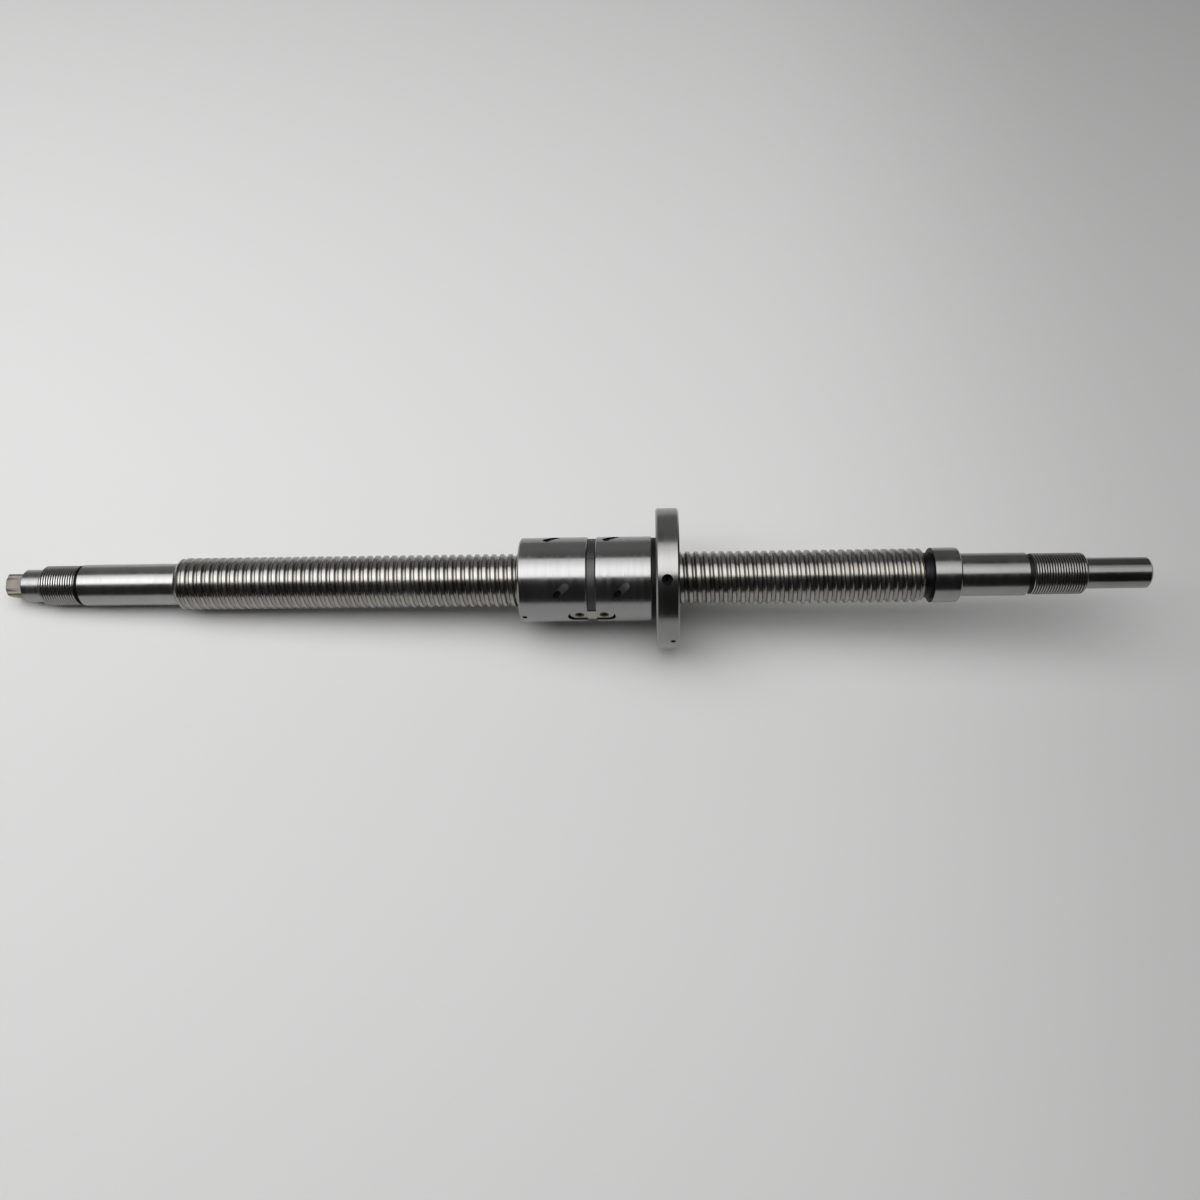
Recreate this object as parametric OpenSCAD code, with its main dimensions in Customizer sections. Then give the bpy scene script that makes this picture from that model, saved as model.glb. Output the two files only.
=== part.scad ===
// Ball screw assembly: ground shaft, preloaded double nut with split spacer, internal ball return.
// Frame: the shaft axis is X, Z is up. The origin is on the axis, at the shoulder
// between the collar and the fixed-side bearing seat. Sizes are in millimetres.

/* [Show] */
// Name of the piece to draw, or all

/* [Ball thread] */
// Lead of the right-hand ball thread
lead = 5; // [4:1:10]
// Diameter of the circle that the ball centres run on
pitch_d = 32; // [25:1:40]
// Ball diameter
ball_d = 3.175; // [2.5:0.005:4]
// Diameter over the lands of the ball thread
thread_od = 31.4; // [24:0.1:39]
// Length of the ball thread
thread_len = 441.4; // [200:0.1:800]
// Flat sides per turn of the ball thread
thread_sides = 14; // [12:1:16]
// Chamfer where the ball thread starts
thread_chamfer = 2; // [0.5:0.1:3]

/* [Fixed end of the shaft] */
// Width of the relief groove between ball thread and collar
big_relief_w = 5.5; // [3:0.1:10]
// Diameter of that groove
big_relief_d = 26.4; // [20:0.1:28]
// Collar diameter
collar_d = 32; // [28:0.1:38]
// Collar length
collar_len = 15.5; // [8:0.1:25]
// Bearing seat diameter
seat_d = 25; // [20:0.5:30]
// Length of the fixed-side bearing seat
fixed_seat_len = 39.2; // [20:0.1:60]
// Width of the relief groove behind the fixed-side seat
fixed_relief_w = 2.1; // [2:0.1:6]
// Length of the fixed-side lock nut thread
fixed_thread_len = 30.8; // [15:0.1:45]
// Drive journal diameter
drive_d = 18; // [12:0.5:22]
// Drive journal length
drive_len = 37.1; // [20:0.1:60]

/* [Floating end of the shaft] */
// Length of the floating-side bearing seat
float_seat_len = 59.6; // [30:0.1:90]
// Width of the relief groove beside that seat
float_relief_w = 1.9; // [1:0.1:5]
// Length of the floating-side lock nut thread
float_thread_len = 22.5; // [10:0.1:40]
// Diameter of the plain round beside the square
neck_d = 19.8; // [14:0.1:22]
// Length of the plain round
neck_len = 11.9; // [5:0.1:25]
// Width across the flats of the square
square_w = 13; // [8:0.1:14]
// Length of the square
square_len = 10.7; // [6:0.1:20]
// Turn of the square about the axis
square_turn = 20; // [0:1:89]

/* [Lock nut threads] */
// Outside diameter of the fine threads
fine_d = 24; // [18:0.5:25]
// Pitch of the fine threads
fine_pitch = 1.5; // [1:0.25:2]
// Diameter at the bottom of the relief grooves beside the fine threads
fine_relief_d = 22; // [16:0.1:23]

/* [Nut] */
// Nut body diameter
nut_d = 50; // [45:0.5:60]
// Length of the plain nut
plain_len = 39.9; // [38:0.1:60]
// Length of the body of the flanged nut, undercut included
flanged_body_len = 35.1; // [34:0.1:60]
// Width of the undercut next to the flange
undercut_w = 2.6; // [1:0.1:5]
// Diameter of the undercut
undercut_d = 48.4; // [44:0.1:50]
// Flange diameter
flange_d = 83; // [76:0.5:95]
// Flange thickness
flange_t = 13.2; // [8:0.1:20]
// Spacer thickness
spacer_t = 5; // [3:0.1:8]
// Spacer outside diameter
spacer_d = 48; // [44:0.1:50]
// Spacer bore diameter
spacer_bore = 37; // [34:0.5:42]
// Distance from the origin back to the outer face of the flange, at rest
nut_at = 161.9; // [30:0.1:350]
// Chamfer on the nut edges
nut_chamfer = 0.5; // [0.2:0.1:1.5]

/* [Flange interface] */
// Number of flange bolts
bolt_count = 6; // [4:1:8]
// Diameter of the bolt circle
bolt_circle = 66; // [60:0.5:80]
// Bolt hole diameter
bolt_hole_d = 6.6; // [4:0.1:9]
// Angle of the first bolt about the axis
bolt_first = 30; // [0:1:89]
// Counterbore diameter for the bolt heads
bolt_head_d = 11; // [7:0.1:15]
// Counterbore depth
bolt_head_h = 6.5; // [3:0.1:10]
// Thread core diameter of the grease port
port_d = 6; // [3:0.1:8]
// Depth of the threaded part of the grease port
port_depth = 10; // [6:0.5:16]
// Angle of the grease port about the axis
port_angle = 120; // [0:1:359]
// Distance of the grease port from the flange's inner face
port_in = 6.2; // [4:0.1:9]

/* [Ball return] */
// Deflector length
deflector_len = 12; // [9:0.1:14]
// Depth of the deflectors below the nut's surface
deflector_sink = 1; // [0.5:0.1:2]
// Deflector width
deflector_w = 4.6; // [4:0.1:6]
// Lean of the deflector against the axis
deflector_lean = 45; // [30:1:60]
// Length of the deep end of the deflectors
deflector_pocket = 5; // [3.6:0.1:6]
// Half of the angle that a return crossing takes
crossing_half = 9; // [7:0.5:14]
// Radius that the balls run on in the return
return_r = 17.7; // [17:0.1:18.5]
// Balls in the loaded part of each circuit
loaded_balls = 30; // [20:1:30]

/* [Key and wipers] */
// Length of the key slot
slot_len = 28; // [22:0.5:34]
// Width of the key slot
slot_w = 10; // [7:0.5:12]
// Key length
key_len = 25.6; // [20:0.1:33]
// Key width
key_w = 9.4; // [6:0.1:11.8]
// Length of the raised middle of the key, over the spacer
key_boss = 5.4; // [4:0.1:9]
// Depth of that raised middle below the nut's surface
key_sink = 0.5; // [0.3:0.1:1]
// Key thickness
key_t = 3.4; // [2:0.1:5]
// Distance of the key screws from the spacer's middle
key_screw_at = 7.2; // [5:0.1:10]
// Wiper ring outside diameter
wiper_d = 38.8; // [36:0.1:42]
// Wiper ring bore
wiper_bore = 32.2; // [31.8:0.1:34]
// Wiper ring thickness
wiper_t = 5; // [3:0.1:6]
// Diameter of the small set screws
set_screw_d = 3; // [2:0.5:4]
// Distance of the left wiper screw from the end of its nut
wiper_screw_in = 3; // [1.5:0.1:4]
// Distance of the right wiper screw from the flange's outer face
flange_screw_in = 3.7; // [1.5:0.1:4]

/* [Hidden] */
$fn = 96;

steel = [0.72, 0.72, 0.74];
dull_steel = [0.42, 0.42, 0.43];
plastic = [0.16, 0.16, 0.17];
bright = [0.85, 0.85, 0.87];

// stations along the shaft, right to left
collar_x = -collar_len;
thread_end = collar_x - big_relief_w;
thread_start = thread_end - thread_len;
float_seat_x = thread_start - float_seat_len;
float_relief_x = float_seat_x - float_relief_w;
float_thread_x = float_relief_x - float_thread_len;
neck_x = float_thread_x - neck_len;
square_x = neck_x - square_len;
fixed_relief_x = fixed_seat_len;
fixed_thread_x = fixed_relief_x + fixed_relief_w;
drive_x = fixed_thread_x + fixed_thread_len;
drive_end = drive_x + drive_len;

// stations along the nut, at rest
flange_out = -nut_at;
flange_face = flange_out - flange_t;
flanged_left = flange_face - flanged_body_len;
spacer_left = flanged_left - spacer_t;
plain_left = spacer_left - plain_len;
spacer_mid = spacer_left + spacer_t / 2;
wiper_pocket = wiper_t + 0.5;
key_angle = 180;

// ball groove, as half widths at the land and at the bottom, and radii
groove_phase = 0.55;
groove_top = 0.6 * ball_d;
groove_low = 0.35 * ball_d;
land_r = thread_od / 2 / cos(90 / thread_sides);
root_r = pitch_d / 2 - ball_d / 2 - 0.21;
corner = cos(180 / thread_sides);
nut_land_r = (thread_od / 2 + 0.6) / corner;
nut_root_r = (pitch_d / 2 + ball_d / 2 + 0.21) / corner;

// deflector centres: one and a quarter leads apart, each on the land at its own angle
deflector_step = 1.25 * lead;
first_a = groove_phase + lead / 2 + lead / 8 - 41 * lead;
first_b = groove_phase + lead / 2 - lead / 8 - 49 * lead;
deflector_clear = 0.05;

function deflector_x(first, n) = first + deflector_step * n;
function deflector_angle(x) = 360 * ((x - groove_phase) / lead - 0.5) % 360;

// ---- helpers ----

module on_x(x) translate([x, 0, 0]) rotate([0, 90, 0]) children();

module rod(x, length, d) on_x(x) cylinder(h = length, d = d);

module turned(points) rotate([0, 90, 0]) rotate_extrude() polygon(points);

// a plain cylinder from x1 to x2 with chamfers c1 and c2 on its ends
module turned_bar(x1, x2, r, c1, c2) turned([
    [0, x1], [r - c1, x1], [r, x1 + c1], [r, x2 - c2], [r - c2, x2], [0, x2]
]);

// puts a piece that points along +Y at an angle about the shaft axis
module at_angle(a, x) translate([x, 0, 0]) rotate([a, 0, 0]) children();

module radial(r1, r2, d) translate([0, r1, 0]) rotate([-90, 0, 0]) cylinder(h = r2 - r1, d = d);

// round-ended block along X, standing radially from r1 to r2
module oblong(length, w, r1, r2) {
    gap = length - w;
    translate([-gap / 2, r1, -w / 2]) cube([gap, r2 - r1, w]);
    for (side = [-1, 1]) translate([side * gap / 2, 0, 0]) radial(r1, r2, w);
}

// solid bar with a helical ball groove: one band of faces per profile line,
// closed at each end by a fan to a point on the axis
module grooved_bar(first, turns, bottom_r, top_r) {
    n = thread_sides;
    last = turns * n;
    profile = [
        [-groove_low, bottom_r], [groove_low, bottom_r],
        [groove_top, top_r], [lead - groove_top, top_r]
    ];
    m = len(profile);
    rings = [
        for (i = [0 : last], j = [0 : m - 1])
            let (a = i * 360 / n, p = profile[j])
                [first + lead * i / n + p[0], p[1] * cos(a), p[1] * sin(a)]
    ];
    near = (last + 1) * m;
    far = near + 1;
    bands = [
        for (i = [0 : last - 1], j = [0 : m - 2])
            each quad(i * m + j, i * m + j + 1, (i + 1) * m + j + 1, (i + 1) * m + j)
    ];
    joins = [
        for (i = [0 : last - n - 1])
            each quad(i * m + m - 1, (i + n) * m, (i + n + 1) * m, (i + 1) * m + m - 1)
    ];
    near_cap = concat(
        [for (i = [0 : n - 1]) [i * m, (i + 1) * m, near]],
        [for (j = [0 : m - 2]) [j + 1, j, near]],
        [[n * m, m - 1, near]]
    );
    far_cap = concat(
        [for (i = [last - n : last - 1]) [(i + 1) * m + m - 1, i * m + m - 1, far]],
        [for (j = [0 : m - 2]) [last * m + j, last * m + j + 1, far]],
        [[(last - n) * m + m - 1, last * m, far]]
    );
    polyhedron(
        points = concat(rings, [
            [first + lead / 2, 0, 0], [first + lead * (turns + 0.5), 0, 0]
        ]),
        faces = concat(bands, joins, near_cap, far_cap)
    );
}

function quad(a, b, c, d) = [[a, b, c], [a, c, d]];

// fine thread as a row of V grooves, from x1 to x2
module fine_thread(x1, x2, chamfer) {
    r = fine_d / 2;
    depth = 0.61 * fine_pitch;
    count = floor((x2 - x1 - 2 * chamfer) / fine_pitch);
    begin = (x1 + x2 - count * fine_pitch) / 2;
    turned(concat(
        [[0, x1], [r - chamfer, x1], [r, x1 + chamfer]],
        [for (k = [0 : count - 1]) each [
            [r, begin + (k + 0.06) * fine_pitch],
            [r - depth, begin + (k + 0.47) * fine_pitch],
            [r - depth, begin + (k + 0.53) * fine_pitch],
            [r, begin + (k + 0.94) * fine_pitch]
        ]],
        [[r, x2 - chamfer], [r - chamfer, x2], [0, x2]]
    ));
}

module centre_drill(x, direction) translate([x, 0, 0]) rotate([0, 90 * direction, 0]) {
    translate([0, 0, -2.2]) cylinder(h = 2.3, r1 = 1.25, r2 = 2.6);
    translate([0, 0, -5]) cylinder(h = 3, r = 1.25);
}

// ---- shaft ----

module ball_thread() intersection() {
    grooved_bar(groove_phase - 94 * lead, 91, root_r, land_r);
    turned([
        [0, thread_start], [root_r - 0.2, thread_start],
        [root_r - 0.2 + 1.5 * thread_chamfer, thread_start + 1.5 * thread_chamfer],
        [root_r + 3, thread_end - 1.5], [root_r + 1, thread_end], [0, thread_end]
    ]);
}

module square_end() intersection() {
    rotate([square_turn, 0, 0]) translate([square_x, -square_w / 2, -square_w / 2])
        cube([square_len + 1, square_w, square_w]);
    turned_bar(square_x, neck_x + 1, 0.66 * square_w, 0.8, 0);
}

module screw_shaft() color(steel) difference() {
    union() {
        ball_thread();
        square_end();
        turned_bar(neck_x, float_thread_x + 1, neck_d / 2, 0.8, 0);
        fine_thread(float_thread_x, float_relief_x, 1.2);
        rod(float_relief_x - 1, float_relief_w + 2, fine_relief_d);
        turned_bar(float_seat_x, thread_start + 1, seat_d / 2, 0.4, 0);
        rod(thread_end - 1, big_relief_w + 2, big_relief_d);
        turned_bar(collar_x, 0, collar_d / 2, 0.5, 0.8);
        turned_bar(-1, fixed_seat_len, seat_d / 2, 0, 0.5);
        rod(fixed_relief_x - 1, fixed_relief_w + 2, fine_relief_d);
        fine_thread(fixed_thread_x, drive_x, 1.2);
        turned_bar(drive_x - 1, drive_end, drive_d / 2, 0, 1.2);
    }
    centre_drill(square_x, -1);
    centre_drill(drive_end, 1);
}

// ---- nuts ----

module deflector_slots(first, r1, r2, extra) for (n = [0 : 3])
    deflector_shape(first, n, r1, r2, extra);

module deflector_shape(first, n, r1, r2, extra) let (x = deflector_x(first, n))
    at_angle(deflector_angle(x), x) rotate([0, deflector_lean, 0])
        oblong(deflector_len + 2 * extra, deflector_w + 2 * extra, r1, r2);

key_top = sqrt(pow(nut_d / 2, 2) - pow(slot_w / 2, 2)) - 0.8;
key_bottom = key_top - key_t;

module key_slot() at_angle(key_angle, spacer_mid)
    oblong(slot_len, slot_w, key_bottom - 0.05, nut_d);

module key_screw_hole(side) at_angle(key_angle, spacer_mid + side * key_screw_at)
    radial(18.6, key_bottom + 1, set_screw_d);

module wiper_screw_hole(x, r) at_angle(key_angle, x) radial(wiper_d / 2 - 1, r, set_screw_d);

module nut_plain() color(steel) difference() {
    turned_bar(plain_left, spacer_left, nut_d / 2, 2 * nut_chamfer, nut_chamfer);
    grooved_bar(groove_phase - 52 * lead, 10, nut_root_r, nut_land_r);
    rod(plain_left - 1, wiper_pocket + 1, wiper_d + 0.3);
    deflector_slots(first_b, 15, nut_d, 0);
    key_slot();
    key_screw_hole(-1);
    wiper_screw_hole(plain_left + wiper_screw_in, nut_d);
}

module grease_port() at_angle(port_angle, flange_face + port_in) {
    radial(flange_d / 2 - port_depth, flange_d, port_d);
    radial(16, flange_d / 2 - port_depth + 1, 2.5);
    translate([0, flange_d / 2 - 0.5, 0]) rotate([-90, 0, 0])
        cylinder(h = 2, d1 = port_d, d2 = port_d + 0.8);
}

module flange_bolts() for (n = [0 : bolt_count - 1])
    rotate([bolt_first + n * 360 / bolt_count, 0, 0]) translate([0, bolt_circle / 2, 0]) {
        rod(flange_face - 1, flange_t + 2, bolt_hole_d);
        rod(flange_out - bolt_head_h, bolt_head_h + 1, bolt_head_d);
    }

// threaded body of the flanged nut, which runs on through the flange ring
module nut_flanged() color(steel) difference() {
    union() {
        turned_bar(flanged_left, flange_face - undercut_w, nut_d / 2, nut_chamfer, nut_chamfer);
        rod(flange_face - undercut_w - 1, undercut_w + flange_t + 1, undercut_d);
    }
    grooved_bar(groove_phase - 44 * lead, 11, nut_root_r, nut_land_r);
    rod(flange_out - wiper_pocket, wiper_pocket + 1, wiper_d + 0.3);
    deflector_slots(first_a, 15, nut_d, 0);
    key_slot();
    key_screw_hole(1);
    wiper_screw_hole(flange_out - flange_screw_in, flange_d);
    grease_port();
}

module nut_flange() color(steel) difference() {
    turned_bar(flange_face, flange_out, flange_d / 2, 2 * nut_chamfer, 2 * nut_chamfer);
    rod(flange_face - 1, flange_t + 2, undercut_d + 0.02);
    wiper_screw_hole(flange_out - flange_screw_in, flange_d);
    grease_port();
    flange_bolts();
}

// one half of the spacer, on the side given by the angle
module spacer_half(angle) difference() {
    turned_bar(spacer_left + 0.02, flanged_left - 0.02, spacer_d / 2, 0.3, 0.3);
    rod(spacer_left - 1, spacer_t + 2, spacer_bore);
    at_angle(angle, spacer_left - 1) translate([0, -spacer_d, -spacer_d])
        cube([spacer_t + 2, spacer_d + 0.15, 2 * spacer_d]);
}

module spacer_front() color(dull_steel) difference() {
    spacer_half(key_angle);
    key_slot();
}

module spacer_back() color(dull_steel) spacer_half(key_angle + 180);

module key() color(dull_steel) difference() {
    intersection() {
        at_angle(key_angle, spacer_mid) union() {
            oblong(key_len, key_w, key_bottom, key_top);
            translate([-key_boss / 2, key_bottom, -key_w / 2]) cube([key_boss, key_w, key_w]);
        }
        rod(plain_left, plain_len + spacer_t + flanged_body_len, nut_d - 2 * key_sink);
    }
    for (side = [-1, 1]) at_angle(key_angle, spacer_mid + side * key_screw_at) {
        radial(key_bottom - 1, key_top + 1, set_screw_d + 0.3);
        radial(key_top - 2, key_top + 1, 5.6);
    }
}

module key_screws() color(dull_steel) for (side = [-1, 1])
    at_angle(key_angle, spacer_mid + side * key_screw_at) difference() {
        union() {
            radial(18.8, key_top - 1.5, set_screw_d - 0.1);
            radial(key_top - 1.95, key_top - 0.15, 5.4);
        }
        translate([0, key_top - 1.4, 0]) rotate([-90, 0, 0]) cylinder(h = 3, d = 2.9, $fn = 6);
    }

module set_screw(x, r) at_angle(key_angle, x) difference() {
    radial(wiper_d / 2 + 0.35, r, set_screw_d - 0.1);
    translate([0, r - 1.5, 0]) rotate([-90, 0, 0]) cylinder(h = 3, d = 1.7, $fn = 6);
}

module wiper_screws() color(dull_steel) {
    set_screw(plain_left + wiper_screw_in, nut_d / 2 - 0.6);
    set_screw(flange_out - flange_screw_in, wiper_d / 2 + 6);
}

// ---- ball return ----

module deflector(first, n) color(dull_steel) difference() {
    intersection() {
        deflector_shape(first, n, 19.5, nut_d, -deflector_clear);
        rod(plain_left, plain_len + spacer_t + flanged_body_len, nut_d - 2 * deflector_sink);
    }
    let (x = deflector_x(first, n), top = nut_d / 2 - deflector_sink)
        at_angle(deflector_angle(x), x) rotate([0, deflector_lean, 0])
            translate([(deflector_pocket - deflector_len) / 2 + 0.5, 0, 0])
                oblong(deflector_pocket, deflector_w - 1, top - 2, nut_d);
}

module ball_circuit(first, n) color(bright) {
    middle = deflector_x(first, n);
    centre = deflector_angle(middle);
    step = (360 - 2 * crossing_half) / (loaded_balls - 1);
    for (k = [0 : loaded_balls - 1]) {
        turn = crossing_half + k * step;
        at_angle(centre + turn, middle - lead / 2 + lead * turn / 360)
            translate([0, pitch_d / 2, 0]) sphere(d = ball_d, $fn = 48);
    }
    at_angle(centre, middle) translate([0, return_r, 0])
        sphere(d = ball_d, $fn = 48);
}

module deflector_a1() deflector(first_a, 0);
module deflector_a2() deflector(first_a, 1);
module deflector_a3() deflector(first_a, 2);
module deflector_a4() deflector(first_a, 3);
module deflector_b1() deflector(first_b, 0);
module deflector_b2() deflector(first_b, 1);
module deflector_b3() deflector(first_b, 2);
module deflector_b4() deflector(first_b, 3);

module balls_a1() ball_circuit(first_a, 0);
module balls_a2() ball_circuit(first_a, 1);
module balls_a3() ball_circuit(first_a, 2);
module balls_a4() ball_circuit(first_a, 3);
module balls_b1() ball_circuit(first_b, 0);
module balls_b2() ball_circuit(first_b, 1);
module balls_b3() ball_circuit(first_b, 2);
module balls_b4() ball_circuit(first_b, 3);

// ---- wipers ----

module wiper(x) color(plastic) difference() {
    turned_bar(x, x + wiper_t, wiper_d / 2, 0.2, 0.2);
    rod(x - 1, wiper_t + 2, wiper_bore);
}

module wiper_left() wiper(plain_left + 0.2);

module wiper_right() wiper(flange_out - wiper_t - 0.2);

screw_shaft();
nut_flanged();
nut_flange();
nut_plain();
spacer_front();
spacer_back();
key();
key_screws();
wiper_left();
wiper_right();
wiper_screws();
deflector_a1();
deflector_a2();
deflector_a3();
deflector_a4();
deflector_b1();
deflector_b2();
deflector_b3();
deflector_b4();
balls_a1();
balls_a2();
balls_a3();
balls_a4();
balls_b1();
balls_b2();
balls_b3();
balls_b4();
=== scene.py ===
"""Ball screw on a pale sheet: the shaft is rebuilt as one fine turned mesh, the nut pieces are the
CAD's own, and every material is procedural. The shaft's and the camera's lengths are millimetres
until MM turns them into the frame's metres. Other lengths are metres."""

import math

import bpy
from mathutils import Matrix, Vector


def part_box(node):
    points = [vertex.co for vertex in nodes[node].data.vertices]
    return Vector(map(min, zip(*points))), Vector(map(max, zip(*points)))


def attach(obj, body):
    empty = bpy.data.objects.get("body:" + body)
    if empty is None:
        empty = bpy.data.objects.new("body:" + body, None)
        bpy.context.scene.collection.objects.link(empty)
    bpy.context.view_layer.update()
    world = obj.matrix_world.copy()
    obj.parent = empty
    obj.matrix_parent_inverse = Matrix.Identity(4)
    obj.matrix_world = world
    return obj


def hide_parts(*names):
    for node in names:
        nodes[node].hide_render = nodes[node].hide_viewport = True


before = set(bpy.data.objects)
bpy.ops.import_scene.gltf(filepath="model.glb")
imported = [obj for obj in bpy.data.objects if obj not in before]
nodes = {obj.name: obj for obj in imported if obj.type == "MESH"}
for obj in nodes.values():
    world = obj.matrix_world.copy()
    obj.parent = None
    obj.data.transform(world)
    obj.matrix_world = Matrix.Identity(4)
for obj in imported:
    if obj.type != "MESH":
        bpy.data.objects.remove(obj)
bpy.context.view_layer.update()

MM = 0.001
flange_low, flange_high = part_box("nut_flange")
NUT_R, FLANGE_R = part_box("nut_plain")[1][2], flange_high[2]  # metres

# ---- camera: above and in front of the screw, as in the photograph ----

CAMERA_PITCH = math.radians(27.88)  # away from straight down
CAMERA_YAW = math.radians(2.92)
CAMERA_ROLL = math.radians(-0.64)
CAMERA_OFFSET = Vector((-208.09, -14.77, 616.36)) * MM  # from the origin, in camera axes
CAMERA_LENS, CAMERA_SENSOR = 31.61, 36.0
CAMERA_REACH = 20  # metres


def add_camera():
    turn = (
        Matrix.Rotation(CAMERA_PITCH, 4, "X")
        @ Matrix.Rotation(CAMERA_YAW, 4, "Y")
        @ Matrix.Rotation(CAMERA_ROLL, 4, "Z")
    )
    data = bpy.data.cameras.new("camera")
    data.lens = CAMERA_LENS
    data.sensor_width = CAMERA_SENSOR
    data.clip_end = CAMERA_REACH
    cam = bpy.data.objects.new("camera", data)
    cam.matrix_world = turn @ Matrix.Translation(CAMERA_OFFSET)
    bpy.context.scene.collection.objects.link(cam)
    bpy.context.scene.camera = cam


add_camera()

# ---- material helpers ----

RANGE_SOCKETS = ("From Min", "From Max", "To Min", "To Max")
# painted shade: the dark colour put on the walls of holes and slots and on floors below the skin
RECESS_SHADE_COLOUR, RECESS_ROUGHNESS = (0.025, 0.025, 0.024), 0.55
RECESS_DEPTH, RECESS_BLEND = 0.0003, 0.0001  # metres below the skin, and over how far it sets in


class Nodes:
    """A material's node tree, with short calls for the nodes used here."""

    def __init__(self, name):
        self.material = bpy.data.materials.new(name)
        self.material.use_nodes = True
        self.tree = self.material.node_tree
        self.shader = self.tree.nodes["Principled BSDF"]
        self.coordinates = self.tree.nodes.new("ShaderNodeTexCoord").outputs
        self.where = self.coordinates["Object"]

    def set(self, **values):
        for name, value in values.items():
            self.shader.inputs[name.replace("_", " ")].default_value = value

    def link(self, out, socket):
        self.tree.links.new(out, socket)

    def to(self, out, name):
        self.link(out, self.shader.inputs[name])

    def noise(self, scale, stretch=(1, 1, 1), detail=3.0, rough=0.55):
        place = self.tree.nodes.new("ShaderNodeMapping")
        place.inputs["Scale"].default_value = [scale * s for s in stretch]
        self.link(self.where, place.inputs["Vector"])
        tex = self.tree.nodes.new("ShaderNodeTexNoise")
        tex.inputs["Scale"].default_value = 1.0
        tex.inputs["Detail"].default_value = detail
        tex.inputs["Roughness"].default_value = rough
        self.link(place.outputs["Vector"], tex.inputs["Vector"])
        return tex.outputs["Fac"]

    def calc(self, kind, a, b=None, c=None):
        node = self.tree.nodes.new("ShaderNodeMath")
        node.operation = kind
        for socket, value in zip(node.inputs, (a, b, c)):
            if value is None:
                continue
            if hasattr(value, "links"):
                self.link(value, socket)
            else:
                socket.default_value = value
        return node.outputs[0]

    def span(self, value, low, high, out_low, out_high):
        node = self.tree.nodes.new("ShaderNodeMapRange")
        node.interpolation_type = "SMOOTHSTEP"
        for name, v in zip(RANGE_SOCKETS, (low, high, out_low, out_high)):
            node.inputs[name].default_value = v
        self.link(value, node.inputs["Value"])
        return node.outputs["Result"]

    def mix(self, factor, a, b):
        node = self.tree.nodes.new("ShaderNodeMix")
        node.data_type = "RGBA"
        self.link(factor, node.inputs["Factor"])
        for index, value in ((6, a), (7, b)):
            socket = node.inputs[index]
            if hasattr(value, "links"):
                self.link(value, socket)
            else:
                socket.default_value = (*value, 1)
        return node.outputs[2]

    def bump(self, height, strength, distance):
        node = self.tree.nodes.new("ShaderNodeBump")
        node.inputs["Strength"].default_value = strength
        node.inputs["Distance"].default_value = distance
        self.link(height, node.inputs["Height"])
        self.to(node.outputs["Normal"], "Normal")

    def split(self, vector):
        parts = self.tree.nodes.new("ShaderNodeSeparateXYZ")
        self.link(vector, parts.inputs[0])
        return parts.outputs

    def radius(self):
        """Distance from the shaft axis, how far the surface faces away from the axis (1 straight
        away, 0 square to it), and how far it faces along the shaft (1 on an end face)."""
        at, normal = self.split(self.where), self.split(self.coordinates["Normal"])
        square = [self.calc("MULTIPLY", at[c], at[c]) for c in "YZ"]
        away = [self.calc("MULTIPLY", at[c], normal[c]) for c in "YZ"]
        r = self.calc("SQRT", self.calc("ADD", *square))
        outward = self.calc("DIVIDE", self.calc("ADD", *away), r)
        return r, outward, self.calc("ABSOLUTE", normal["X"])

    def recess_shade(self, skin):
        """Where painted shade goes: 1 on the walls of holes and slots and on floors below the skin
        radius (metres), and 0 elsewhere."""
        r, away, end = self.radius()
        sideways, not_end = self.span(away, 0.4, 0.55, 1, 0), self.span(end, 0.85, 0.95, 1, 0)
        wall = self.calc("MULTIPLY", sideways, not_end)
        edge = skin - RECESS_DEPTH
        low = self.span(r, edge - RECESS_BLEND, edge, 1, 0)
        floor = self.calc("MULTIPLY", self.span(away, 0.8, 0.95, 0, 1), low)
        return self.calc("MAXIMUM", wall, floor)


RING_MARKS, BROAD_MARKS = (5200, 60, 60), (420, 30, 30)  # noise drawn out round the shaft
CLOUD_SCALE, SPOT_SCALE = 55, 240
MARK_HEIGHT = 0.00002  # metres
OLD_OIL = (0.1, 0.09, 0.08)


def turned_steel(
    name, light, dark, rough, spread, mark_depth, grime=0.0, skin=None, grime_colour=OLD_OIL
):
    """Steel with fine rings from turning or grinding round the X axis, faint stains and handling
    marks. Below the radius skin, holes, slots and grooves get painted shade and more roughness."""
    m = Nodes(name)
    m.set(Metallic=1.0)
    rings = m.noise(1.0, RING_MARKS, detail=4)
    broad = m.noise(1.0, BROAD_MARKS, detail=3)
    cloud = m.noise(CLOUD_SCALE, detail=4)
    tone = m.calc("ADD", m.calc("MULTIPLY", rings, 0.45), m.calc("MULTIPLY", cloud, 0.55))
    colour = m.mix(m.span(tone, 0.3, 0.7, 0, 1), dark, light)
    if grime:
        spots = m.span(m.noise(SPOT_SCALE, detail=5, rough=0.7), 0.62, 0.78, 0, grime)
        colour = m.mix(spots, colour, grime_colour)
    wear = m.calc("ADD", m.calc("MULTIPLY", broad, 0.6), m.calc("MULTIPLY", cloud, 0.4))
    roughness = m.span(wear, 0.3, 0.7, rough - spread, rough + spread)
    if skin:
        # painted shade in holes, slots and on floors below the skin, which are also made rougher
        recess_shade = m.recess_shade(skin)
        colour = m.mix(recess_shade, colour, RECESS_SHADE_COLOUR)
        extra = m.calc("MULTIPLY", recess_shade, RECESS_ROUGHNESS - rough)
        roughness = m.calc("ADD", roughness, extra)
    m.to(colour, "Base Color")
    m.to(roughness, "Roughness")
    m.bump(rings, mark_depth, MARK_HEIGHT)
    return m.material


# key and deflector steel deeper than these below the nut's skin gets painted shade
KEY_DEPTH, PLUG_DEPTH = 0.0012, 0.0008  # metres below the nut's skin that still count as bright

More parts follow.
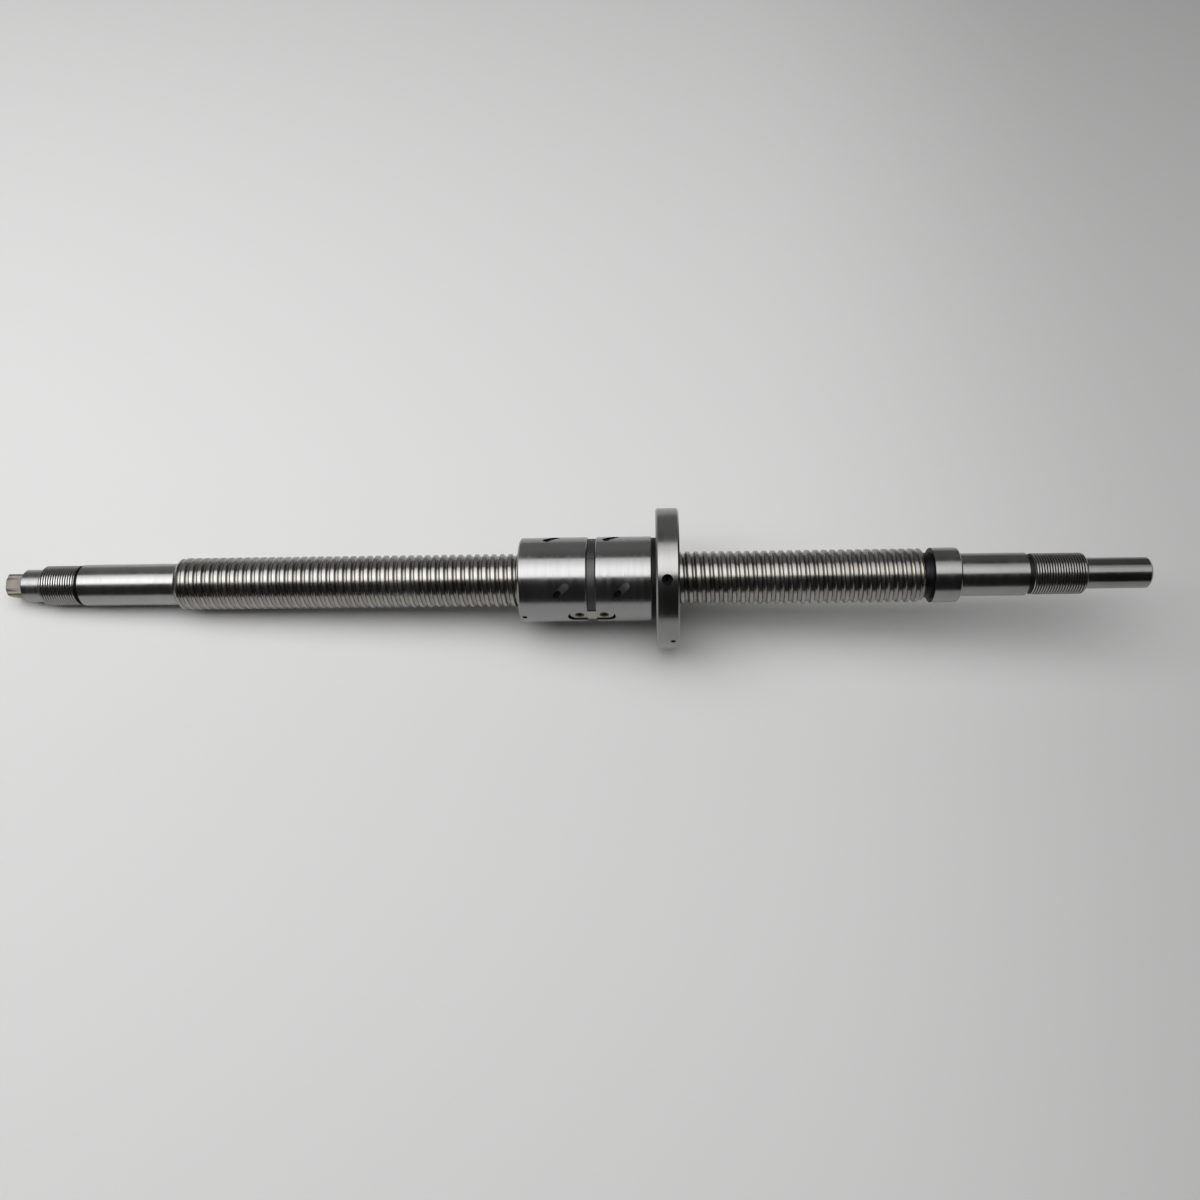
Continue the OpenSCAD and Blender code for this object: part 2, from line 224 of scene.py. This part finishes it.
ground = turned_steel(
    "ground_steel", (0.335, 0.335, 0.33), (0.285, 0.285, 0.28), 0.22, 0.04, 0.3, grime=0.25
)
nut_skin = turned_steel(
    "nut_ground_steel", (0.30, 0.298, 0.298), (0.265, 0.263, 0.263), 0.2, 0.05, 0.3,
    grime=0.15, skin=NUT_R,
)
# painted shade: the flange gets a darker copy of the nut's steel, for its dimmer highlight
flange_shaded_skin = turned_steel(
    "flange_shaded_ground_steel", (0.28, 0.278, 0.276), (0.24, 0.238, 0.236), 0.22, 0.05, 0.35,
    grime=0.25, skin=FLANGE_R,
)
land_steel = turned_steel(
    "thread_land_steel", (0.36, 0.357, 0.35), (0.28, 0.277, 0.27), 0.24, 0.05, 0.3, grime=0.3
)
groove_steel = turned_steel(
    "ball_groove_steel", (0.32, 0.305, 0.28), (0.24, 0.225, 0.20), 0.24, 0.06, 0.25, grime=0.4
)
fine_steel = turned_steel(
    "fine_thread_steel", (0.46, 0.455, 0.44), (0.38, 0.375, 0.36), 0.24, 0.04, 0.05, grime=0.2
)
# painted shade: the fine threads' flanks and roots are darker than their crests
fine_root_shade = turned_steel(
    "fine_thread_root_shade", (0.15, 0.146, 0.136), (0.10, 0.097, 0.09), 0.4, 0.05, 0.05, grime=0.2
)
square_steel = turned_steel(
    "square_steel", (0.205, 0.19, 0.17), (0.14, 0.13, 0.116), 0.42, 0.08, 0.6, grime=0.5
)
milled = turned_steel(
    "milled_steel", (0.31, 0.31, 0.305), (0.25, 0.25, 0.245), 0.3, 0.06, 0.5, grime=0.2
)
dull = turned_steel(
    "dull_spacer_steel", (0.10, 0.098, 0.098), (0.07, 0.069, 0.069), 0.5, 0.06, 0.3, grime=0.2
)
key_steel = turned_steel(
    "key_steel", (0.40, 0.39, 0.36), (0.30, 0.29, 0.26), 0.36, 0.06, 0.2,
    grime=0.3, skin=NUT_R - KEY_DEPTH,
)
plug_steel = turned_steel(
    "deflector_steel", (0.33, 0.33, 0.325), (0.15, 0.15, 0.146), 0.4, 0.06, 0.2,
    grime=0.3, skin=NUT_R - PLUG_DEPTH,
)
black_screw = turned_steel(
    "black_screw_steel", (0.05, 0.05, 0.05), (0.03, 0.03, 0.03), 0.45, 0.08, 0.3
)
scale_black = turned_steel(
    "black_scale", (0.045, 0.044, 0.046), (0.018, 0.018, 0.02), 0.5, 0.12, 0.6,
    grime=0.5, grime_colour=(0.07, 0.055, 0.045),
)
ball_chrome = turned_steel("ball_steel", (0.55, 0.55, 0.55), (0.5, 0.5, 0.5), 0.08, 0.03, 0.05)


def wiper_plastic():
    m = Nodes("wiper_plastic")
    m.to(m.mix(m.noise(400, detail=4), (0.018, 0.018, 0.02), (0.035, 0.035, 0.037)), "Base Color")
    m.set(Roughness=0.55)
    m.bump(m.noise(2500), 0.2, 0.00005)
    return m.material


# ---- the shaft as one fine mesh ----

COLUMNS = 72  # round the shaft
SHARP_ANGLE = math.radians(32)  # steeper edges than this are drawn sharp

# ball thread and lock nut threads
LEAD, PITCH_R, BALL_R, THREAD_R = 5.0, 16.0, 1.5875, 15.7
GROOVE_R = 1.08 * BALL_R
GROOVE_SHIFT = (GROOVE_R - BALL_R) * 0.7
GROOVE_PHASE = 0.55  # middle of a groove on the +Y side, counted from the collar's shoulder
FINE_PITCH, FINE_R, FINE_DEPTH, FINE_HALF, FINE_ROOT = 1.5, 12.0, 0.7, 0.42, 0.06
FINE_STEPS = (-FINE_HALF, -FINE_ROOT, FINE_ROOT, FINE_HALF)

# radii (R), chamfers and depths of the turned steps
SQUARE_HALF, SQUARE_CORNER, SQUARE_TURN = 6.5, 8.5, 20.0  # SQUARE_TURN is in degrees
SQUARE_FACE_R, SQUARE_EDGE_R, SQUARE_EDGE, SQUARE_CHAMFER = 6.3, 6.9, 0.3, 1.4
DRILL_MOUTH_R, DRILL_R, DRILL_CONE, DRILL_DEPTH = 2.6, 1.25, 2.3, 5
NECK_R, NECK_CHAMFER = 9.9, 0.8
RELIEF_R, BLACK_RELIEF_R = 11.0, 13.2
SEAT_R, SEAT_CHAMFER, SEAT_END_CHAMFER, SEAT_STRIP = 12.5, 0.4, 0.5, 20
THREAD_MOUTH_R, THREAD_TAIL_R = 13.4, 14.6
COLLAR_R, COLLAR_EDGE, COLLAR_CHAMFER = 16.0, 0.25, 0.8
DRIVE_R, DRIVE_CHAMFER = 9.0, 1.2
FLOAT_MOUTH_R, FIXED_MOUTH_R, FIXED_TAIL_R = FINE_R - 1.3, FINE_R - 0.3, FINE_R - 1.2

# where each stretch starts or ends, from the hand square to the drive end
SQUARE_X, NECK_X, FLOAT_THREAD_X, FLOAT_RELIEF_X = -569.0, -558.3, -546.4, -523.9
FLOAT_SEAT_X, BALL_X, BALL_END, COLLAR_X = -522.0, -462.4, -20.5, -15.5
SEAT_END, FIXED_THREAD_X, DRIVE_X, DRIVE_END = 39.2, 41.8, 72.1, 109.2


def groove_radius(u):
    """Radius of the ball thread at u millimetres from the groove's middle: a gothic arch, then a
    flat land."""
    u = abs((u + LEAD / 2) % LEAD - LEAD / 2)
    reach = u + GROOVE_SHIFT
    if reach >= GROOVE_R:
        return THREAD_R
    return min(THREAD_R, PITCH_R + GROOVE_SHIFT - math.sqrt(GROOVE_R**2 - reach**2))


def fine_radius(u):
    """Radius of the lock nut thread: V grooves with flat crests and narrow roots."""
    u = abs((u + FINE_PITCH / 2) % FINE_PITCH - FINE_PITCH / 2)
    return FINE_R - FINE_DEPTH * min(1.0, max(0.0, (FINE_HALF - u) / (FINE_HALF - FINE_ROOT)))


class Turned:
    """Rings and helical bands on shared columns, joined into one closed mesh."""

    def __init__(self):
        self.points, self.faces, self.kinds, self.index = [], [], [], {}
        self.last = None

    def vertex(self, x, column, r):
        column %= COLUMNS
        key = (round(x * 1e4), column if r > 1e-6 else 0, round(r * 1e4))
        if key not in self.index:
            a = 2 * math.pi * column / COLUMNS
            self.index[key] = len(self.points)
            self.points.append((x * MM, r * math.cos(a) * MM, r * math.sin(a) * MM))
        return self.index[key]

    def face(self, corners, kind):
        kept = [c for n, c in enumerate(corners) if c != corners[n - 1]]
        if len(set(kept)) == len(kept) >= 3:
            self.faces.append(kept)
            self.kinds.append(kind)

    def band(self, before, after, kind):
        for i in range(COLUMNS):
            self.face([before[i], after[i], after[i + 1], before[i + 1]], kind)

    def ring(self, x, r, kind):
        """A ring at x. r is a radius, or a function of the angle in degrees."""
        size = r if callable(r) else lambda a: r
        row = [self.vertex(x, i, size(360 * (i % COLUMNS) / COLUMNS)) for i in range(COLUMNS + 1)]
        if self.last:
            self.band(self.last, row, kind)
        self.last = row

    def rings(self, kind, *profile):
        for x, r in profile:
            self.ring(x, r, kind)

    def thread(self, x1, x2, pitch, phase, radius, limit, steps, kind_of):
        """A right-hand thread from x1 to x2. Its rows follow the helix, and are clipped to flat
        rings at the ends."""

        def at(row, i):
            turn, step = divmod(row, len(steps))
            x = phase + (first + turn) * pitch + steps[step] + pitch * i / COLUMNS
            x = min(max(x, x1), x2)
            u = x - phase - pitch * (i % COLUMNS) / COLUMNS
            return self.vertex(x, i, min(radius(u), limit(x)))

        first = math.floor((x1 - phase) / pitch) - 2
        rows = (math.ceil((x2 - x1) / pitch) + 4) * len(steps)
        before = self.last
        row = [at(0, i) for i in range(COLUMNS + 1)]
        self.band(before, row, kind_of(0))
        for n in range(1, rows):
            after = [at(n, i) for i in range(COLUMNS + 1)]
            self.band(row, after, kind_of((n - 1) % len(steps)))
            row = after
        self.last = row

    def object(self, name, materials):
        mesh = bpy.data.meshes.new(name)
        mesh.from_pydata(self.points, [], self.faces)
        for m in materials:
            mesh.materials.append(m)
        mesh.polygons.foreach_set("material_index", self.kinds)
        mesh.polygons.foreach_set("use_smooth", [True] * len(self.faces))
        mesh.set_sharp_from_angle(angle=SHARP_ANGLE)
        mesh.validate()
        obj = bpy.data.objects.new(name, mesh)
        bpy.context.scene.collection.objects.link(obj)
        return obj


GROUND, LAND, GROOVE, FINE, FINE_SHADE, MILLED, SQUARE, SCALE = range(8)
SHAFT_MATERIALS = [
    ground, land_steel, groove_steel, fine_steel, fine_root_shade, milled, square_steel, scale_black
]


def square_radius(angle):
    """Distance from the axis to a square with turned corners, at an angle in degrees."""
    off = (angle - SQUARE_TURN + 45) % 90 - 45
    return min(SQUARE_CORNER, SQUARE_HALF / math.cos(math.radians(off)))


def groove_steps():
    """Places across one lead: close together on the groove's edges, wide on the land."""
    edge = math.sqrt(GROOVE_R**2 - (PITCH_R + GROOVE_SHIFT - THREAD_R) ** 2) - GROOVE_SHIFT
    inner = [edge * t for t in (-1, -0.94, -0.8, -0.55, -0.28, 0, 0.28, 0.55, 0.8, 0.94, 1)]
    return inner + [LEAD / 2]


# each function below adds one stretch of the shaft to s, from left to right


def centre_drill(x, inward):
    """The hole's profile from its bottom to its mouth at x. inward is 1 or -1, into the metal."""
    return [
        (x + inward * DRILL_DEPTH, 0.0),
        (x + inward * DRILL_DEPTH, DRILL_R),
        (x + inward * DRILL_CONE, DRILL_R),
        (x, DRILL_MOUTH_R),
    ]


def hand_square(s):
    s.rings(MILLED, *centre_drill(SQUARE_X, 1))
    s.rings(
        SQUARE,
        (SQUARE_X, lambda a: min(square_radius(a) - SQUARE_EDGE, SQUARE_FACE_R)),
        (SQUARE_X + SQUARE_EDGE, lambda a: min(square_radius(a), SQUARE_EDGE_R)),
        (SQUARE_X + SQUARE_CHAMFER, square_radius),
        (NECK_X, square_radius),
    )
    s.rings(
        MILLED,
        (NECK_X, NECK_R - NECK_CHAMFER),
        (NECK_X + NECK_CHAMFER, NECK_R),
        (FLOAT_THREAD_X, NECK_R),
    )


def fine_thread(s, x1, x2, limit):
    s.thread(
        x1, x2, FINE_PITCH, 0.0, fine_radius, limit,
        # crests get the fine steel, flanks and roots the painted shade
        FINE_STEPS, lambda n: FINE if n == len(FINE_STEPS) - 1 else FINE_SHADE,
    )


def floating_end(s):
    s.ring(FLOAT_THREAD_X, FLOAT_MOUTH_R, FINE)
    fine_thread(
        s, FLOAT_THREAD_X, FLOAT_RELIEF_X,
        lambda x: min(FINE_R, FLOAT_MOUTH_R + (x - FLOAT_THREAD_X)),
    )
    s.rings(SCALE, (FLOAT_RELIEF_X, RELIEF_R), (FLOAT_SEAT_X, RELIEF_R))
    s.rings(
        GROUND,
        (FLOAT_SEAT_X, SEAT_R - SEAT_CHAMFER),
        (FLOAT_SEAT_X + SEAT_CHAMFER, SEAT_R),
        (BALL_X - SEAT_STRIP, SEAT_R),
        (BALL_X, SEAT_R),
    )


def ball_thread(s):
    steps = groove_steps()
    s.ring(BALL_X, THREAD_MOUTH_R, LAND)
    s.thread(
        BALL_X, BALL_END, LEAD, GROOVE_PHASE, groove_radius,
        lambda x: min(THREAD_R, THREAD_MOUTH_R + (x - BALL_X), THREAD_TAIL_R + (BALL_END - x)),
        steps, lambda n: GROOVE if n < len(steps) - 2 else LAND,
    )


def collar_and_seat(s):
    s.rings(
        SCALE,
        (BALL_END, BLACK_RELIEF_R),
        (COLLAR_X, BLACK_RELIEF_R),
        (COLLAR_X, COLLAR_R - COLLAR_EDGE),
        (COLLAR_X + COLLAR_EDGE, COLLAR_R),
    )
    s.rings(
        GROUND,
        (-COLLAR_CHAMFER, COLLAR_R),
        (0.0, COLLAR_R - COLLAR_CHAMFER),
        (0.0, SEAT_R),
        (SEAT_END - SEAT_END_CHAMFER, SEAT_R),
        (SEAT_END, SEAT_R - SEAT_END_CHAMFER),
    )


def fixed_end(s):
    s.rings(
        SCALE,
        (SEAT_END, RELIEF_R),
        (FIXED_THREAD_X, RELIEF_R),
        (FIXED_THREAD_X, FIXED_MOUTH_R),
    )
    fine_thread(
        s, FIXED_THREAD_X, DRIVE_X,
        lambda x: min(FINE_R, FIXED_MOUTH_R + (x - FIXED_THREAD_X), FIXED_TAIL_R + (DRIVE_X - x)),
    )
    s.ring(DRIVE_X, DRIVE_R, FINE)
    s.rings(GROUND, (DRIVE_END - DRIVE_CHAMFER, DRIVE_R), (DRIVE_END, DRIVE_R - DRIVE_CHAMFER))
    s.rings(MILLED, *reversed(centre_drill(DRIVE_END, -1)))


def build_shaft():
    s = Turned()
    for stretch in (hand_square, floating_end, ball_thread, collar_and_seat, fixed_end):
        stretch(s)
    return s.object("shaft_turned", SHAFT_MATERIALS)


shaft = build_shaft()
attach(shaft, "shaft")
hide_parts("screw_shaft")

# ---- CAD pieces that keep their shape ----

plastic = wiper_plastic()
FINISHES = {
    "nut_": nut_skin,
    "nut_flange": flange_shaded_skin,
    "nut_flanged": nut_skin,
    "spacer_": dull,
    "key": key_steel,
    "key_screws": black_screw,
    "wiper_": plastic,
    "wiper_screws": black_screw,
    "deflector_": plug_steel,
    "balls_": ball_chrome,
}
for name, obj in nodes.items():
    fits = [start for start in FINISHES if name.startswith(start)]
    if fits:
        finish = FINISHES[max(fits, key=len)]
        for slot in obj.material_slots:
            slot.material = finish

# ---- floor and light ----

# the sheet touches the flange and the shaft's left end, so it slopes
REST_R, REST_REACH = 0.012, 0.085  # where it meets the left end: metres off the axis, past BALL_X
FLOOR_TOUCH = Vector(((flange_low[0] + flange_high[0]) / 2, 0, -FLANGE_R))
FLOOR_TILT = math.atan2(FLANGE_R - REST_R, FLOOR_TOUCH.x - BALL_X * MM + REST_REACH)
FLOOR_HALF = 3.0
PAPER_DARK, PAPER_LIGHT = (0.75, 0.75, 0.75), (0.78, 0.78, 0.78)
# painted light towards the back, painted shade on the right and painted shade far out in front
PAPER_PAINTED_LIGHT_BACK, PAPER_PAINTED_SHADE_RIGHT, PAPER_PAINTED_SHADE_FAR = (0.825, 0.825, 0.825), (0.62, 0.62, 0.62), (0.05, 0.05, 0.05)

PANEL_HEIGHT = 1.2
PANEL_X, PANEL_Y = (-1.75, 1.15), (-0.58, 0.72)
PANEL_FADE_FRONT, PANEL_FADE_BACK = 0.13, 0.1
PANEL_GLOW = 3.3  # radiance of its brightest part
PANEL_COLOUR = (1.0, 0.998, 0.995, 1)


def flat_sheet(name, corners, place, material):
    """One flat face through the corners, carried to its place."""
    mesh = bpy.data.meshes.new(name)
    mesh.from_pydata([(x, y, 0) for x, y in corners], [], [(0, 1, 2, 3)])
    mesh.materials.append(material)
    sheet = bpy.data.objects.new(name, mesh)
    sheet.matrix_world = place
    bpy.context.scene.collection.objects.link(sheet)
    return sheet


def floor_paper():
    """Pale paper with painted light towards the back, and painted shade on the right and far out
    in front.
    """
    m = Nodes("floor_paper")
    where = m.split(m.where)
    paper = m.mix(m.noise(900, detail=4), PAPER_DARK, PAPER_LIGHT)
    # painted light towards the back of the sheet, and painted shade towards its right
    paper = m.mix(m.span(where["Y"], -0.12, 0.12, 0, 1), paper, PAPER_PAINTED_LIGHT_BACK)
    paper = m.mix(m.span(where["X"], 0.05, 0.38, 0, 0.72), paper, PAPER_PAINTED_SHADE_RIGHT)
    # painted shade: the paper turns almost black far out in front
    far = m.span(where["Y"], -0.75, -0.42, 1, 0)
    m.to(m.mix(far, paper, PAPER_PAINTED_SHADE_FAR), "Base Color")
    m.set(Roughness=0.8)
    return m.material


def make_floor():
    h = FLOOR_HALF
    place = Matrix.Translation(FLOOR_TOUCH) @ Matrix.Rotation(FLOOR_TILT, 4, "Y")
    floor = flat_sheet("floor", [(-h, -h), (h, -h), (h, h), (-h, h)], place, floor_paper())


def panel_glow():
    """Light that is brightest on the left and towards the front, and fades at the edges."""
    m = Nodes("panel_glow")
    where = m.split(m.where)
    y0, y1 = PANEL_Y
    along = m.span(where["X"], -0.5, 0.75, 1.0, 0.28)
    back = m.span(where["Y"], -0.1, 0.62, 1.0, 0.52)
    front_edge = m.span(where["Y"], y0, y0 + PANEL_FADE_FRONT, 0, 1)
    back_edge = m.span(where["Y"], y1 - PANEL_FADE_BACK, y1, 1, 0)
    edges = m.calc("MULTIPLY", front_edge, back_edge)
    bright = m.calc("MULTIPLY", edges, PANEL_GLOW)
    glow = m.calc("MULTIPLY", m.calc("MULTIPLY", along, back), bright)
    m.to(glow, "Emission Strength")
    m.set(Emission_Color=PANEL_COLOUR, Base_Color=(0, 0, 0, 1), Roughness=1.0)
    return m.material


def add_panel():
    """A soft light overhead, facing down."""
    (x0, x1), (y0, y1) = PANEL_X, PANEL_Y
    place = Matrix.Translation((0, 0, PANEL_HEIGHT))
    corners = [(x0, y0), (x0, y1), (x1, y1), (x1, y0)]
    panel = flat_sheet("light_panel", corners, place, panel_glow())


make_floor()
add_panel()


ROOM_COLOUR = (1.0, 1.0, 0.99, 1)
ROOM_RAMPS = (("Y", 0.3, 0.85, 0.03, 0.3), ("X", -0.1, 0.5, 1.0, 0.25))  # from, to, low, high


def make_world():
    """Dark in front, a dim wall behind that fades to the right."""
    world = bpy.data.worlds.new("room")
    bpy.context.scene.world = world
    world.use_nodes = True
    tree = world.node_tree
    back = tree.nodes["Background"]
    where = tree.nodes.new("ShaderNodeTexCoord")
    parts = tree.nodes.new("ShaderNodeSeparateXYZ")
    tree.links.new(where.outputs["Generated"], parts.inputs[0])
    product = tree.nodes.new("ShaderNodeMath")
    product.operation = "MULTIPLY"
    for index, (axis, low, high, out_low, out_high) in enumerate(ROOM_RAMPS):
        ramp = tree.nodes.new("ShaderNodeMapRange")
        for name, value in zip(RANGE_SOCKETS, (low, high, out_low, out_high)):
            ramp.inputs[name].default_value = value
        tree.links.new(parts.outputs[axis], ramp.inputs["Value"])
        tree.links.new(ramp.outputs["Result"], product.inputs[index])
    tree.links.new(product.outputs[0], back.inputs["Strength"])
    back.inputs["Color"].default_value = ROOM_COLOUR


make_world()
bpy.context.scene.view_settings.view_transform = "Standard"
